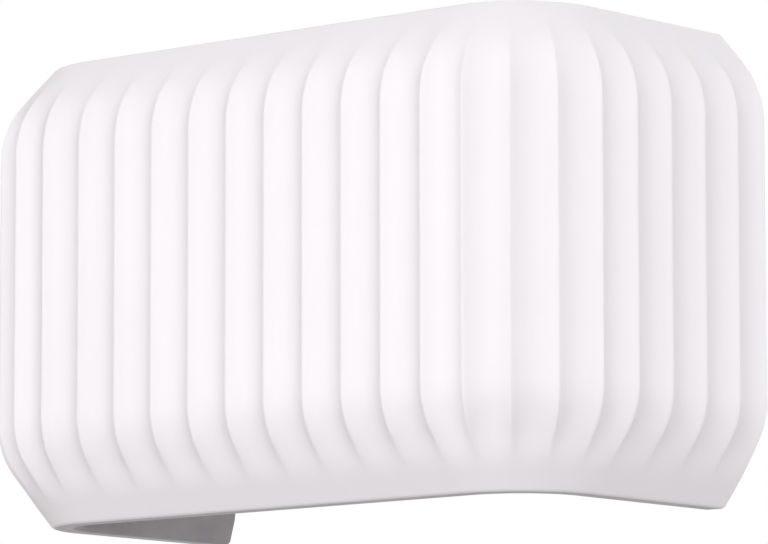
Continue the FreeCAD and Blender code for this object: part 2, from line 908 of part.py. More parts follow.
def lamp_dome():
    centre_x = lamp_start() + dome_centre()
    base_x = lamp_start() + housing_end()
    outer, outer_rim, outer_tip = dome_arc(dome_radius, centre_x, base_x)
    inner, inner_rim, inner_tip = dome_arc(dome_radius - dome_wall, centre_x, base_x)
    edges = [outer, Part.LineSegment(outer_tip, inner_tip).toShape(), inner,
             Part.LineSegment(inner_rim, outer_rim).toShape()]
    return Part.Face(Part.Wire(edges)).revolve(point(centre_x, lamp_y, 0), AXIS_X, 360)


def board_x():
    return lamp_start() + housing_end() - board_depth


def lamp_board():
    radius = housing_rim_radius - housing_wall - board_fit
    return rod(point(board_x(), lamp_y, 0), AXIS_X, radius, board_thickness)


def lamp_leds():
    chips = []
    x = board_x() + board_thickness
    for index in range(led_count):
        low = point(x, lamp_y - led_width / 2, led_circle_radius - led_length / 2)
        high = point(x + led_thickness, lamp_y + led_width / 2, led_circle_radius + led_length / 2)
        chips.append(box(low, high).rotated(point(x, lamp_y, 0), AXIS_X, index * 360 / led_count))
    return Part.makeCompound(chips)


def terminal_block():
    top = pole_heights[0] + pole_edge
    bottom = pole_heights[-1] - pole_edge
    corners = [point(block_left, block_front, bottom), point(block_left, plate_y, bottom),
               point(block_left, plate_y, top), point(block_left, block_front, top)]
    block = rounded_face(corners, [block_rounding, 0, 0, block_rounding]).extrude(AXIS_X * block_length)
    cuts = []
    tube_end = (block_length - pole_tube_length) / 2
    tube_room = pole_tube_radius + pole_tube_fit
    for height in pole_heights:
        entry = point(block_left, lead_y, height)
        cuts.append(through_hole(entry, AXIS_X, pole_entry_radius, block_length))
        cuts.append(rod(entry + AXIS_X * tube_end, AXIS_X, tube_room, pole_tube_length))
        for sign in (1, -1):
            mouth = point(block_x + sign * pole_screw_spacing / 2, block_front - overrun, height)
            cuts.append(rod(mouth, AXIS_Y, pole_screw_hole_radius, lead_y - mouth.y))
    for x, z in block_stud_places():
        mouth = point(x, block_front - overrun, z)
        cuts.append(through_hole(point(x, plate_y, z), -AXIS_Y, small_stud_radius + hole_fit, block_depth))
        cuts.append(rod(mouth, AXIS_Y, block_pocket_radius, block_pocket_depth + overrun))
    return tidy(block.cut(cuts))


def terminal_tubes():
    tubes = []
    start_x = block_x - pole_tube_length / 2
    hole_radius = pole_screw_radius + thread_fit
    for height in pole_heights:
        start = point(start_x, lead_y, height)
        barrel = tube(start, AXIS_X, pole_tube_radius, pole_tube_bore_radius, pole_tube_length)
        for sign in (1, -1):
            mouth = point(block_x + sign * pole_screw_spacing / 2, lead_y, height)
            barrel = barrel.cut(rod(mouth, -AXIS_Y, hole_radius, pole_tube_radius + overrun))
        tubes.append(barrel)
    return Part.makeCompound(tubes)


def terminal_screws():
    screws = []
    tip_y = lead_y - ferrule_radius - thread_fit
    head_y = tip_y - pole_screw_length
    half_slot = pole_screw_slot_width / 2
    for height in pole_heights:
        for sign in (1, -1):
            x = block_x + sign * pole_screw_spacing / 2
            screw = rod(point(x, tip_y, height), -AXIS_Y, pole_screw_radius, pole_screw_length)
            slot = box(point(x - pole_screw_length, head_y - overrun, height - half_slot),
                       point(x + pole_screw_length, head_y + pole_screw_slot_depth, height + half_slot))
            screws.append(screw.cut(slot))
    return Part.makeCompound(screws)


def block_nut_seat():
    return block_front + block_pocket_depth


def block_studs():
    tip_y = block_nut_seat() - small_nut_thickness
    return Part.makeCompound([pressed_stud(x, z, small_stud_radius, small_stud_head_radius, tip_y)
                              for x, z in block_stud_places()])


def block_nuts():
    y = block_nut_seat()
    bore = small_stud_radius + thread_fit
    return Part.makeCompound([
        hex_nut(point(x, y, z), -AXIS_Y, small_nut_across_flats, small_nut_thickness, bore)
        for x, z in block_stud_places()])


def earth_nut_seat():
    return plate_y - tag_sheet - washer_thickness


def earth_stud():
    tip_y = earth_nut_seat() - nut_thickness - stud_tip_length
    return pressed_stud(earth_stud_x, lead_z, stud_radius, stud_head_radius, tip_y)


def earth_washer():
    start = point(earth_stud_x, plate_y - tag_sheet, lead_z)
    return tube(start, -AXIS_Y, washer_radius, stud_radius + hole_fit, washer_thickness)


def earth_nut():
    seat = point(earth_stud_x, earth_nut_seat(), lead_z)
    return hex_nut(seat, -AXIS_Y, nut_across_flats, nut_thickness, stud_radius + thread_fit)


def tag_barrel_start():
    return earth_stud_x + washer_radius + tag_barrel_gap


def tag_barrel_y():
    return plate_y - tag_barrel_radius


def earth_tag():
    ring = rod(point(earth_stud_x, plate_y, lead_z), -AXIS_Y, tag_ring_radius, tag_sheet)
    start = tag_barrel_start()
    neck = box(point(earth_stud_x, plate_y - tag_sheet, lead_z - tag_neck_width / 2),
               point(start + tag_barrel_length / 2, plate_y, lead_z + tag_neck_width / 2))
    barrel = rod(point(start, tag_barrel_y(), lead_z), AXIS_X, tag_barrel_radius, tag_barrel_length)
    hole = through_hole(point(earth_stud_x, plate_y, lead_z), -AXIS_Y, stud_radius + hole_fit, tag_sheet)
    return tidy(ring.fuse([neck, barrel])).cut(hole)


def bar_along(points, bends, radius):
    """Round bar along straight runs, with a tangent arc of the bend radius given for each point."""
    path = rounded_wire(points, bends, False)
    pieces = []
    heading = unit(points[1] - points[0])
    disc = Part.Face(Part.Wire(Part.makeCircle(radius, points[0], heading)))
    for edge in path.OrderedEdges:
        start = edge.Vertexes[0].Point
        end = edge.Vertexes[1].Point
        if edge.Curve.TypeId == "Part::GeomLine":
            pieces.append(disc.extrude(end - start))
            disc = disc.translated(end - start)
        else:
            centre = edge.Curve.Center
            normal = unit((start - centre).cross(end - centre))
            turn = math.degrees((start - centre).getAngle(end - centre))
            pieces.append(disc.revolve(centre, normal, turn))
            disc = disc.rotated(centre, normal, turn)
    return tidy(pieces[0].fuse(pieces[1:]))


def lead_plane_normal():
    """Normal of the tilted plane that both lamp leads run in, side by side."""
    down = point(0, lead_y - lamp_y, lead_z)
    return unit(AXIS_X.cross(down))


def lamp_lead_points(start_x, end_x, offset):
    shift = lead_plane_normal() * offset
    return [point(start_x, lamp_y, 0) + shift, point(lead_turn_x, lamp_y, 0) + shift,
            point(lead_turn_x, lead_y, lead_z) + shift, point(end_x, lead_y, lead_z) + shift]


def lamp_lead(offset, pole_height):
    """Lead from the contact block, through the sleeve, to its pole of the terminal block."""
    start_x = arm_face_x + holder_block_start()
    points = lamp_lead_points(start_x, sleeve_end_x + lead_fan_start_gap, offset)
    for gap in (lead_fan_end_gap, lead_stop_gap):
        points.append(point(block_left - gap, lead_y, pole_height))
    bends = [0, lead_bend_radius, lead_bend_radius, lead_fan_bend_radius, lead_fan_bend_radius, 0]
    return bar_along(points, bends, lead_radius)


def lead_brown():
    return lamp_lead(lead_spread, pole_heights[0])


def lead_blue():
    return lamp_lead(-lead_spread, pole_heights[-1])


def lead_sleeve():
    start_x = nipple_nut_x() - nipple_tip_length + sleeve_nipple_depth
    points = lamp_lead_points(start_x, sleeve_end_x, 0)
    bends = [0, lead_bend_radius, lead_bend_radius, 0]
    outside = bar_along(points, bends, sleeve_radius)
    points[0] += AXIS_X * overrun
    points[-1] += AXIS_X * overrun
    return outside.cut(bar_along(points, bends, sleeve_bore_radius))


def lead_earth():
    start = point(tag_barrel_start() + tag_barrel_length, tag_barrel_y(), lead_z)
    end = point(block_left - lead_stop_gap, lead_y, lead_z)
    level_run = AXIS_X * ((end.x - start.x) * earth_lead_level_share)
    points = [start, start + level_run, end - level_run, end]
    return bar_along(points, [earth_lead_bend_radius] * len(points), lead_radius)


def lead_ferrules():
    start_x = block_left - lead_stop_gap
    length = lead_stop_gap + ferrule_depth
    return Part.makeCompound([rod(point(start_x, lead_y, height), AXIS_X, ferrule_radius, length)
                              for height in pole_heights])


def sleeve_clips():
    bore = sleeve_radius + clip_fit
    half = bore + clip_wall
    run_start = lead_turn_x + lead_bend_radius
    clips = []
    for share in clip_place_shares:
        x = run_start + (sleeve_end_x - run_start) * share
        foot = box(point(x, lead_y, lead_z - half), point(x + clip_length, plate_y, lead_z + half))
        crown = rod(point(x, lead_y, lead_z), AXIS_X, half, clip_length)
        hole = through_hole(point(x, lead_y, lead_z), AXIS_X, bore, clip_length)
        clips.append(tidy(foot.fuse(crown)).cut(hole))
    return Part.makeCompound(clips)


pieces = (
    plaster_shade, hanger_right, hanger_left, hook_studs, hanger_screws, threaded_inserts,
    back_plate, hook_bracket_right, hook_bracket_left, bracket_rivets, cable_bush, lampholder_arm,
    arm_studs, arm_washers, arm_nuts, holder_nipple, nipple_washer, nipple_nut, holder_cap,
    contact_block, holder_screws, holder_skirt, screw_shell, centre_contact, lamp_contact,
    lamp_insulator, lamp_cap, lamp_housing, lamp_dome, lamp_board, lamp_leds, terminal_block,
    terminal_tubes, terminal_screws, block_studs, block_nuts, earth_stud, earth_tag, earth_washer,
    earth_nut, lead_brown, lead_blue, lead_earth, lead_sleeve, lead_ferrules, sleeve_clips,
)


def main():
    os.makedirs("parts", exist_ok=True)
    for piece in pieces:
        piece().exportStep(os.path.join("parts", piece.__name__ + ".step"))


main()
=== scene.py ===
import json
import math

import bmesh
import bpy
import numpy as np
from mathutils import Matrix, Vector


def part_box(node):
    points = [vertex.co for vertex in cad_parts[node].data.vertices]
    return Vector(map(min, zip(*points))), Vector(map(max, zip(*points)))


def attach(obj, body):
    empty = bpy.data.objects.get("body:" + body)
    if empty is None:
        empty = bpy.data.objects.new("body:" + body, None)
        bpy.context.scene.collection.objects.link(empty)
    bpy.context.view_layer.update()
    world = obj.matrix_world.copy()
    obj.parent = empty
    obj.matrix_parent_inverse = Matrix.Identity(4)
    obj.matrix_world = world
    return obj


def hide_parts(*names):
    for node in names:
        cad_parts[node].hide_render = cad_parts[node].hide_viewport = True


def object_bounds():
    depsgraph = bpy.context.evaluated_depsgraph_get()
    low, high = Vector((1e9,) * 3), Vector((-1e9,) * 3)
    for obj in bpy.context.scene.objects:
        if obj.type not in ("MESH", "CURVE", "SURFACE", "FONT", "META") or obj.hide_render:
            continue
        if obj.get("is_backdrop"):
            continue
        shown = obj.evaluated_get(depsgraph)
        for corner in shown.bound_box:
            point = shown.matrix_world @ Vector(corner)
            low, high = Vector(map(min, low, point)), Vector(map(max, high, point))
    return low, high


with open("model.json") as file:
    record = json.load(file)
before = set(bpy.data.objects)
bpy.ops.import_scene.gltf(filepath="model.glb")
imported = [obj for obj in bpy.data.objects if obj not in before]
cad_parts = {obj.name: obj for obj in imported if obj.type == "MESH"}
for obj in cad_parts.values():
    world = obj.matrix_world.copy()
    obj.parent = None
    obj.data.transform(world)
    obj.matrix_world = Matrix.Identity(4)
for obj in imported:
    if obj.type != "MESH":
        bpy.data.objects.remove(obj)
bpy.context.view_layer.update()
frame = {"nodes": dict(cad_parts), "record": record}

# Lengths are metres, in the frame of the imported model: the wall is Y = 0, the room lies towards
# minus Y, Z is up.
MM = 0.001

# Shade, as its solid is made; the overall sizes come from the solid's box
corner_radius = 56.5 * MM
rim_inset = 22 * MM
lip_thickness = 9.5 * MM
lip_rounding = 2.5 * MM
throat_step = 4 * MM
throat_height = 14 * MM
throat_rounding = 9 * MM
wall_thickness = 17 * MM
inner_slope_height = 24 * MM
inner_knee_radius = 16 * MM
upper_slope_angle = math.radians(42)
upper_knee_radius = 34 * MM
lower_slope_angle = math.radians(37)
flute_depth = 3.5 * MM
flute_land = 0.6 * MM
front_flutes = 10
corner_flutes = 5
side_flutes = 4
side_flute_pitch = 20.2 * MM

# Shade, what only the finished surface has: a lower knee a little tighter than the solid's,
# smooth bands beside the rims from which the flutes fade in, and softened arrises and back edges
lower_knee_radius = 30 * MM
upper_band = 9 * MM
upper_fade = 34 * MM
lower_band = 10.5 * MM
lower_fade = 23 * MM
arris_softness = 0.3
back_edge_rounding = 0.8 * MM

# Shade, where its inside begins, as the part of the section's normal that points inwards
inside_start = -0.5
inside_full = 0.4
inside_mark = "inside"

# Shade, how finely its surface is divided
back_edge_steps = 5
flute_steps = 24
fine_step = 1.2 * MM
coarse_step = 6 * MM
arc_steps = 8

# Patterns and colours that only the finishes have
# Colour of the shade's inside: bare plaster, made darker and lilac grey as painted shade for the shadow
# that falls inside the casting
shaded_bare_plaster = (0.4, 0.378, 0.394)
stripe_green = (0.02, 0.3, 0.06)
stripe_yellow = (0.82, 0.7, 0.03)
stripe_pitch = 9 * MM
strand_pitch = 4 * MM
speckle_pitch = 1.4 * MM
track_pitch = 6 * MM
brush_grain = 0.3 * MM

# Camera: where it stands, how it is turned, and its lens in millimetres
camera_place = Vector((1.3777, -1.6514, -0.2733))
camera_yaw = math.radians(40.62)
camera_pitch = math.radians(7.521)
camera_roll = math.radians(-0.068)
camera_lens = 259.8

# Studio
floor_height = -4.3
floor_size = 25.0
floor_colour = (0.94, 0.93, 0.935)
floor_glow = 0.4
floor_stain_grain = 0.8
floor_rough_grain = 0.05
# Levels of the world's light from the left and right, the room and the wall, below and above
world_levels = ((0.05, 0.1), (0.44, 1.15), (0.03, 0.48))
light_distance = 2.6
light_width = 2.2
light_height = 1.6
# Azimuth and elevation in degrees, and power in watts
lights = {
    "key": (40, 12, 34),
    "fill_left": (-40, 12, 17),
    "rim": (125, 12, 13.3),
    "fill_low": (40, -15, 6.3),
    "fill_high": (20, 45, 4),
}


def material_tree(name):
    """New material with its node tree and its shader."""
    material = bpy.data.materials.new(name)
    material.use_nodes = True
    tree = material.node_tree
    return material, tree, tree.nodes["Principled BSDF"]


def node(tree, kind, **values):
    """New node with its settings."""
    made = tree.nodes.new(kind)
    for name, value in values.items():
        setattr(made, name, value)
    return made


def feed(tree, term, socket):
    """Gives an input another node's output, a number, or a colour of three channels."""
    if isinstance(term, bpy.types.NodeSocket):
        tree.links.new(term, socket)
    elif socket.type == "RGBA":
        socket.default_value = (*term, 1)
    else:
        socket.default_value = term


def pattern(tree, kind, pitch, stretch=(1, 1, 1), **values):
    """Texture whose pattern has about the pitch, in object coordinates that are multiplied by
    the stretch, so that a small one draws the pattern out along its axis."""
    coordinates = node(tree, "ShaderNodeTexCoord")
    mapping = node(tree, "ShaderNodeMapping")
    mapping.inputs["Scale"].default_value = stretch
    tree.links.new(coordinates.outputs["Object"], mapping.inputs["Vector"])
    texture = node(tree, kind, **values)
    texture.inputs["Scale"].default_value = 1 / pitch
    tree.links.new(mapping.outputs["Vector"], texture.inputs["Vector"])
    return texture


def noise(tree, grain, detail=3, stretch=(1, 1, 1)):
    """Noise whose features are about one grain across."""
    texture = pattern(tree, "ShaderNodeTexNoise", grain, stretch)
    texture.inputs["Detail"].default_value = detail
    return texture.outputs["Fac"]


def spread(tree, source, low=0, high=1, source_low=0.35, source_high=0.65):
    """Maps a stretch of the source's range, the middle of a texture's, onto low to high."""
    mapped = node(tree, "ShaderNodeMapRange")
    mapped.inputs["From Min"].default_value = source_low
    mapped.inputs["From Max"].default_value = source_high
    mapped.inputs["To Min"].default_value = low
    mapped.inputs["To Max"].default_value = high
    tree.links.new(source, mapped.inputs["Value"])
    return mapped.outputs["Result"]


def calculate(tree, operation, *terms):
    """Math node on outputs and numbers."""
    made = node(tree, "ShaderNodeMath", operation=operation)
    for term, socket in zip(terms, made.inputs):
        feed(tree, term, socket)
    return made.outputs["Value"]


def mix(tree, kind, share, first, second):
    """From first at a share of nought to second at a share of one."""
    mixed = node(tree, "ShaderNodeMix", data_type=kind)
    for term, name in zip((share, first, second), ("Factor", "A", "B")):
        feed(tree, term, mixed.inputs[name])
    return mixed.outputs["Result"]


def bump(tree, shader, height, depth, strength=1.0, below=None):
    """Raises the surface by the height texture, at most depth metres, over an earlier bump."""
    made = node(tree, "ShaderNodeBump")
    made.inputs["Strength"].default_value = strength
    made.inputs["Distance"].default_value = depth
    tree.links.new(height, made.inputs["Height"])
    if below is not None:
        tree.links.new(below, made.inputs["Normal"])
    tree.links.new(made.outputs["Normal"], shader.inputs["Normal"])
    return made.outputs["Normal"]


def darkened(colour, factor):
    return tuple(channel * factor for channel in colour)


def paint(tree, shader, colour):
    """Makes a colour output the shader's own colour."""
    tree.links.new(colour, shader.inputs["Base Color"])


def painted(shader):
    """Colour output that the shader has so far."""
    return shader.inputs["Base Color"].links[0].from_socket


def common_finish(name, colour, darker, stain_grain, rough, rough_grain, metal=0.0):
    """Colour that drifts a little over the surface, and roughness that follows a finer grain."""
    material, tree, shader = material_tree(name)
    stain = spread(tree, noise(tree, stain_grain))
    paint(tree, shader, mix(tree, "RGBA", stain, colour, darkened(colour, darker)))
    roughness = spread(tree, noise(tree, rough_grain), *rough)
    tree.links.new(roughness, shader.inputs["Roughness"])
    shader.inputs["Metallic"].default_value = metal
    return material, tree, shader


def plaster_finish(name, colour):
    """Fine finished plaster outside; greyer and rougher where the mesh says it is inside, the grey
    being bare plaster darkened further as painted shade.
    """
    material, tree, shader = common_finish(
        name, colour, darker=0.985, stain_grain=60 * MM, rough=(0.72, 0.86), rough_grain=4 * MM)
    inside = node(tree, "ShaderNodeAttribute", attribute_name=inside_mark).outputs["Fac"]
    patches = spread(tree, noise(tree, grain=18 * MM, detail=5))
    # The inside colour, bare plaster with painted shade, varies a little in patches
    shaded_inside = mix(tree, "RGBA", patches, shaded_bare_plaster, darkened(shaded_bare_plaster, 0.88))
    paint(tree, shader, mix(tree, "RGBA", inside, painted(shader), shaded_inside))
    waves = bump(tree, shader, noise(tree, grain=25 * MM, detail=2), depth=0.05 * MM)
    fine = bump(
        tree, shader, noise(tree, grain=0.7 * MM, detail=4), depth=0.03 * MM, strength=0.5, below=waves)
    pits = calculate(tree, "MULTIPLY", noise(tree, grain=2.5 * MM, detail=5), inside)
    bump(tree, shader, pits, depth=0.35 * MM, below=fine)
    return material


def paint_finish(name, colour):
    """Powder paint with a faint orange peel."""
    material, tree, shader = common_finish(
        name, colour, darker=0.97, stain_grain=40 * MM, rough=(0.34, 0.46), rough_grain=3 * MM)
    bump(tree, shader, noise(tree, grain=1.6 * MM, detail=2), depth=0.05 * MM)
    return material


def brushed_finish(name, colour, stretch, **looks):
    """Bare metal with fine marks along one axis."""
    material, tree, shader = common_finish(name, colour, metal=1.0, **looks)
    bump(tree, shader, noise(tree, brush_grain, stretch=stretch), depth=0.01 * MM, strength=0.6)
    return material


def plated_finish(name, colour):
    return brushed_finish(
        name, colour, stretch=(1, 1, 0.15),
        darker=0.86, stain_grain=9 * MM, rough=(0.26, 0.44), rough_grain=1.5 * MM)


def brass_finish(name, colour):
    return brushed_finish(
        name, colour, stretch=(0.15, 1, 1),
        darker=0.8, stain_grain=6 * MM, rough=(0.22, 0.4), rough_grain=1.2 * MM)


def moulded_finish(name, colour):
    """Plastic with a fine moulded grain."""
    material, tree, shader = common_finish(
        name, colour, darker=0.95, stain_grain=15 * MM, rough=(0.36, 0.5), rough_grain=2 * MM)
    bump(tree, shader, noise(tree, grain=0.5 * MM), depth=0.02 * MM, strength=0.6)
    return material


def ceramic_finish(name, colour):
    """Glazed body with small dark speckles."""
    material, tree, shader = common_finish(
        name, colour, darker=0.93, stain_grain=8 * MM, rough=(0.2, 0.32), rough_grain=3 * MM)
    distance = pattern(tree, "ShaderNodeTexVoronoi", speckle_pitch).outputs["Distance"]
    past_dot = spread(tree, distance, source_low=0.08, source_high=0.14)
    paint(tree, shader, mix(tree, "RGBA", past_dot, darkened(colour, 0.72), painted(shader)))
    shader.inputs["Coat Weight"].default_value = 0.5
    return material


def glassy_finish(name, colour):
    """Smooth vitrified insulator, slightly wavy."""
    material, tree, shader = common_finish(
        name, colour, darker=0.7, stain_grain=5 * MM, rough=(0.1, 0.2), rough_grain=2 * MM)
    bump(tree, shader, noise(tree, grain=3 * MM, detail=2), depth=0.03 * MM)
    return material


def opal_finish(name, colour):
    """Plastic that scatters the light inside it."""
    material, tree, shader = common_finish(
        name, colour, darker=0.985, stain_grain=20 * MM, rough=(0.3, 0.38), rough_grain=5 * MM)
    shader.inputs["Subsurface Weight"].default_value = 0.25
    shader.inputs["Subsurface Radius"].default_value = (4 * MM, 4 * MM, 4 * MM)
    bump(tree, shader, noise(tree, grain=0.4 * MM, detail=2), depth=0.01 * MM, strength=0.5)
    return material


def board_finish(name, colour):
    """White lacquer over copper tracks that show as faint raised fields."""
    material, tree, shader = common_finish(
        name, colour, darker=0.96, stain_grain=12 * MM, rough=(0.3, 0.4), rough_grain=2 * MM)
    tracks = pattern(
        tree, "ShaderNodeTexVoronoi", track_pitch, distance="CHEBYCHEV", feature="DISTANCE_TO_EDGE")
    raised = spread(tree, tracks.outputs["Distance"], source_low=0.04, source_high=0.07)
    bump(tree, shader, raised, depth=0.05 * MM)
    return material


def phosphor_finish(name, colour):
    """Grainy yellow coating."""
    material, tree, shader = common_finish(
        name, colour, darker=0.88, stain_grain=1.5 * MM, rough=(0.4, 0.55), rough_grain=0.5 * MM)
    bump(tree, shader, noise(tree, grain=0.25 * MM, detail=2), depth=0.02 * MM)
    return material


def rubber_finish(name, colour):
    """Dull rubber with a rough skin."""
    material, tree, shader = common_finish(
        name, colour, darker=0.7, stain_grain=6 * MM, rough=(0.62, 0.8), rough_grain=1.5 * MM)
    bump(tree, shader, noise(tree, grain=0.4 * MM, detail=4), depth=0.03 * MM, strength=0.8)
    return material


def insulation_finish(name, colour):
    """Drawn plastic with faint lines along the lead."""
    material, tree, shader = common_finish(
        name, colour, darker=0.85, stain_grain=12 * MM, rough=(0.36, 0.5), rough_grain=2 * MM)
    bump(tree, shader, noise(tree, grain=0.6 * MM, detail=2, stretch=(0.2, 1, 1)), depth=0.03 * MM)
    return material


def slanting_bands(tree, pitch, stretch):
    """Bands across a diagonal of the stretched coordinates."""
    bands = pattern(
        tree, "ShaderNodeTexWave", pitch, stretch, wave_type="BANDS", bands_direction="DIAGONAL")
    return bands.outputs["Fac"]


def striped_finish(name, colour):
    """Two colours that wind round the lead."""
    material, tree, shader = common_finish(
        name, colour, darker=0.9, stain_grain=12 * MM, rough=(0.36, 0.5), rough_grain=2 * MM)
    bands = slanting_bands(tree, stripe_pitch, stretch=(0.45, 0, 1.4))
    edge = spread(tree, bands, source_low=0.47, source_high=0.53)
    paint(tree, shader, mix(tree, "RGBA", edge, stripe_green, stripe_yellow))
    return material


def braid_finish(name, colour):
    """Two sets of slanting strands, one over the other, with painted shade darkening the gaps between
    them.
    """
    material, tree, shader = common_finish(
        name, colour, darker=0.88, stain_grain=10 * MM, rough=(0.6, 0.78), rough_grain=1 * MM)
    strands = [slanting_bands(tree, strand_pitch, stretch=(1, slant, slant)) for slant in (1, -1)]
    over = calculate(tree, "MAXIMUM", *strands)
    # Painted shade: the colour darkens where the strands sink, in the gaps between them
    paint(tree, shader, mix(tree, "RGBA", over, darkened(colour, 0.7), colour))
    bump(tree, shader, over, depth=0.12 * MM)
    return material


finishes = {
    "plaster": plaster_finish,
    "white_paint": paint_finish,
    "zinc_steel": plated_finish,
    "brass": brass_finish,
    "nickel": plated_finish,
    "holder_plastic": moulded_finish,
    "holder_ceramic": ceramic_finish,
    "lamp_black": glassy_finish,
    "lamp_plastic": moulded_finish,
    "lamp_opal": opal_finish,
    "board_white": board_finish,
    "led_phosphor": phosphor_finish,
    "block_nylon": moulded_finish,
    "bush_black": rubber_finish,
    "insulation_brown": insulation_finish,
    "insulation_blue": insulation_finish,
    "insulation_green_yellow": striped_finish,
    "sleeve_fibre": braid_finish,
}


def make_materials(record):
    """One material for each of the record's slots, in the colour that the record gives."""
    materials = {}
    for row in record["materials"]:
        slot = row["slot"]
        materials[slot] = finishes[slot](slot, tuple(row["base_color"]))
    return materials


def dress(piece, material):
    """Gives the piece the material alone."""
    piece.data.materials.clear()
    piece.data.materials.append(material)


def dress_frame(record, materials):
    """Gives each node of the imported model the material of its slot."""
    for row in record["subparts"]:
        piece = frame["nodes"][row["node"]]
        dress(piece, materials[row["material_slot"]])


def knee_corner(half_height, slope_angle):
    """Height at which the slope's line would meet the upright flank."""
    return half_height - rim_inset / math.tan(slope_angle)


def section_corners(half_height):
    """Corners of the wall's section as (inset, height, rounding), up the outside and down the
    inside."""
    lip = rim_inset + lip_thickness
    throat = lip + throat_step
    throat_z = half_height - throat_height
    inner_z = throat_z - inner_slope_height
    upper = [
        (0, knee_corner(half_height, upper_slope_angle), upper_knee_radius),
        (rim_inset, half_height, lip_rounding),
        (lip, half_height, lip_rounding),
        (throat, throat_z, throat_rounding),
        (wall_thickness, inner_z, inner_knee_radius),
    ]
    lower = [(0, knee_corner(half_height, lower_slope_angle), lower_knee_radius)] + upper[1:]
    return upper + [(inset, -height, radius) for inset, height, radius in reversed(lower)]


def corner_arcs(corners):
    """Centre, start, end and radius of the arc that rounds each corner of the section."""
    places = [Vector(corner[:2]) for corner in corners]
    arcs = []
    for index, (_, _, radius) in enumerate(corners):
        back = (places[index - 1] - places[index]).normalized()
        ahead = (places[(index + 1) % len(places)] - places[index]).normalized()
        half = back.angle(ahead) / 2
        arcs.append((
            places[index] + (back + ahead).normalized() * (radius / math.sin(half)),
            places[index] + back * (radius / math.tan(half)),
            places[index] + ahead * (radius / math.tan(half)),
            radius,
        ))
    return arcs


def section_ring(corners):
    """Points round the section as rows of inset, height and the two parts of the normal."""
    arcs = corner_arcs(corners)
    rows = []
    for index, (centre, start, end, radius) in enumerate(arcs):
        turn = (start - centre).angle_signed(end - centre)
        outward = math.copysign(1, turn)
        steps = max(arc_steps, math.ceil(abs(turn) * radius / fine_step))
        for step in range(steps + 1):
            spoke = start - centre
            spoke.rotate(Matrix.Rotation(-turn * step / steps, 2))
            rows.append((*(centre + spoke), *(spoke * (outward / radius))))
        run = arcs[(index + 1) % len(arcs)][1] - end
        is_slope = abs(run.x) > fine_step and abs(run.y) > fine_step
        pace = fine_step if is_slope else coarse_step
        steps = max(1, math.ceil(run.length / pace))
        heading = run.normalized()
        for step in range(1, steps):
            spot = end + run * (step / steps)
            rows.append((*spot, -heading.y, heading.x))
    return np.array(rows)


def smooth_step(share):
    """From nought to one without a kink at either end."""
    share = np.clip(share, 0, 1)
    return share * share * (3 - 2 * share)


def flute_fades(ring, half_height):
    """How much of its full depth a flute has at each point of the ring: none on the smooth bands
    beside the rims and on the inside, all of it past the fades."""
    fades = np.zeros(len(ring))
    for sign, band, fade in ((1, upper_band, upper_fade), (-1, lower_band, lower_fade)):
        height = ring[:, 1] * sign
        from_rim = np.hypot(ring[:, 0] - rim_inset, half_height - height)
        mine = (height >= 0) & (ring[:, 2] < 0)
        fades = np.where(mine, smooth_step((from_rim - band) / fade), fades)
    return fades


def softer_max(first, second, softness):
    """Larger of the two, with the crease between them rounded off."""
    gap = np.abs(first - second)
    lift = np.where(gap < softness, (softness - gap) ** 2 / (4 * softness), 0)
    return np.maximum(first, second) + lift


def arris_places(front_half):
    """Distances along the shade's outline, from the middle of the front, of the flutes' edges."""
    corner_run = corner_radius * math.pi / 2
    places = [front_half * index / (front_flutes / 2) for index in range(front_flutes // 2 + 1)]
    places += [front_half + corner_run * (index + 1) / corner_flutes for index in range(corner_flutes)]
    places += [front_half + corner_run + side_flute_pitch * (index + 1) for index in range(side_flutes)]
    return np.array([-place for place in reversed(places[1:])] + places)


def stations(edges, half_run):
    """Distances along the outline at which the section is placed, closest beside the arrises."""
    share = (1 - np.cos(np.pi * np.arange(flute_steps) / flute_steps)) / 2
    steps = np.concatenate([low + (high - low) * share for low, high in zip(edges[:-1], edges[1:])])
    steps = steps[np.abs(steps) < half_run - 2 * back_edge_rounding]
    turn = np.linspace(0, np.pi / 2, back_edge_steps + 1)
    rounded = half_run - back_edge_rounding * (1 - np.sin(turn))
    return np.concatenate([-rounded[::-1], steps, rounded])


def outline_at(along, front_half, front_y):
    """Points of the shade's outline in plan, with their outward normals."""
    distance = np.abs(along)
    side = np.sign(along)
    turn = np.clip((distance - front_half) / corner_radius, 0, np.pi / 2)
    beyond = np.maximum(distance - front_half - corner_radius * np.pi / 2, 0)
    x = np.minimum(distance, front_half) + corner_radius * np.sin(turn)
    y = front_y + corner_radius * (1 - np.cos(turn)) + beyond
    return np.stack([x * side, y], 1), np.stack([np.sin(turn) * side, -np.cos(turn)], 1)


def flute_profile(along, edges):
    """Depth of the flutes at each station, as a share of the full depth. All have the same
    hollow between their arrises, so at the corners, where the outline bulges, they lie deeper
    under it."""
    middles = (edges[:-1] + edges[1:]) / 2
    chords = np.diff(edges) - flute_land
    radii = (chords ** 2 / 4 + flute_depth ** 2) / (2 * flute_depth)
    bulge = corner_radius * (1 - math.cos(math.pi / 4 / corner_flutes)) / flute_depth
    around = np.abs(middles)
    at_corner = (around > edges[-1 - side_flutes - corner_flutes]) & (around < edges[-1 - side_flutes])
    lift = 1 + bulge * at_corner
    nearest = np.clip(np.searchsorted(edges, along) - 1, 0, len(middles) - 1)
    profile = np.zeros(len(along))
    for neighbour in (-1, 0, 1):
        flute = np.clip(nearest + neighbour, 0, len(middles) - 1)
        across = np.minimum(np.abs(along - middles[flute]), radii[flute])
        rise = radii[flute] - np.sqrt(radii[flute] ** 2 - across ** 2)
        depth = (1 - rise / flute_depth) * lift[flute]
        profile = softer_max(profile, depth, arris_softness)
    return profile


def back_edge_depths(along, half_run):
    """How far each station's surface stands back where the shade's back edges are rounded."""
    past_start = np.maximum(back_edge_rounding - (half_run - np.abs(along)), 0)
    return back_edge_rounding - np.sqrt(back_edge_rounding ** 2 - past_start ** 2)


